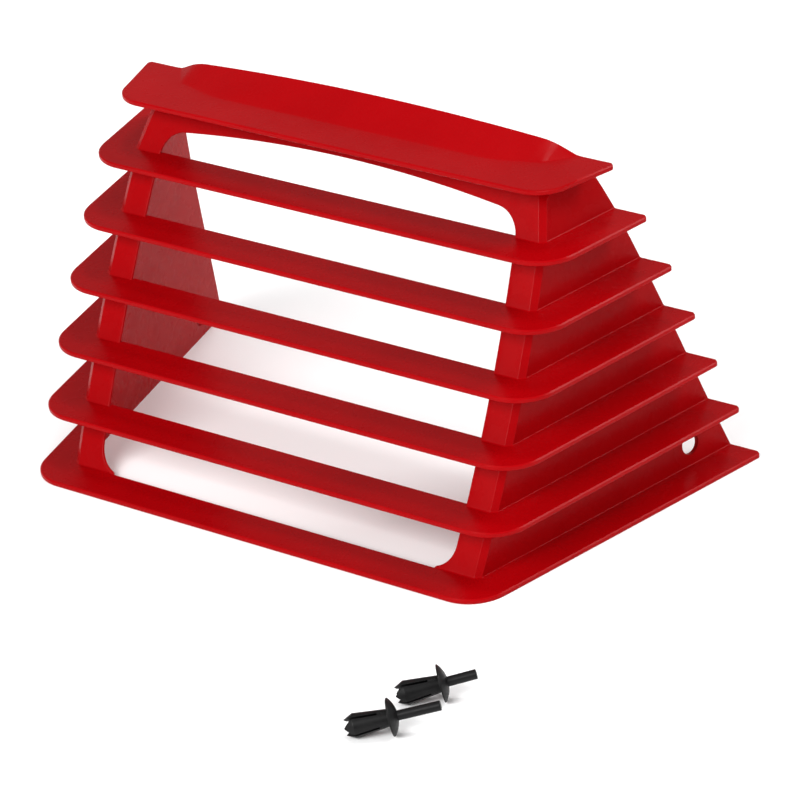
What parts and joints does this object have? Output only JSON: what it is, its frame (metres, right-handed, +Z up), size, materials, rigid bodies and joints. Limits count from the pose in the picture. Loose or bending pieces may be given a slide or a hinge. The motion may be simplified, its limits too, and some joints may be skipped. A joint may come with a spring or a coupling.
{
  "type": "cowl vent",
  "caption": "Louvred cowl vent: a thin hooded shell with level fins that wrap its front and flaring sides and cross its opening, beside two loose push-in drive rivets.",
  "frame": {"origin": "centre of the underside of the bottom fin's front strip, on the surface the vent stands on", "axes": "+X to the right when looking at the louvred front, -Y out of that front, +Z up"},
  "size_m": [0.2489, 0.215, 0.129],
  "materials": {
    "red_plastic": "satin, through-coloured",
    "black_nylon": "smooth moulded nylon with a soft sheen"
  },
  "bodies": {
    "vent": {"vent_shell": "red_plastic", "fin_1": "red_plastic", "fin_2": "red_plastic", "fin_3": "red_plastic", "fin_4": "red_plastic", "fin_5": "red_plastic", "fin_6": "red_plastic", "fin_7": "red_plastic"},
    "rivet_1": {"rivet_1_body": "black_nylon"},
    "rivet_1_pin": {"rivet_1_pin": "black_nylon"},
    "rivet_2": {"rivet_2_body": "black_nylon"},
    "rivet_2_pin": {"rivet_2_pin": "black_nylon"}
  },
  "joints": [
    {"name": "rivet_1_lift", "type": "slide", "parent": "vent", "child": "rivet_1", "axis": [0, 0, 1], "range_m": [0, 0.04]},
    {"name": "rivet_1_drive", "type": "slide", "parent": "rivet_1", "child": "rivet_1_pin", "axis": [-0.7682, -0.611, -0.1911], "range_m": [-0.0045, 0.0092]},
    {"name": "rivet_2_lift", "type": "slide", "parent": "vent", "child": "rivet_2", "axis": [0, 0, 1], "range_m": [0, 0.04]},
    {"name": "rivet_2_drive", "type": "slide", "parent": "rivet_2", "child": "rivet_2_pin", "axis": [-0.7991, -0.57, -0.1911], "range_m": [0, 0.0137]}
  ]
}
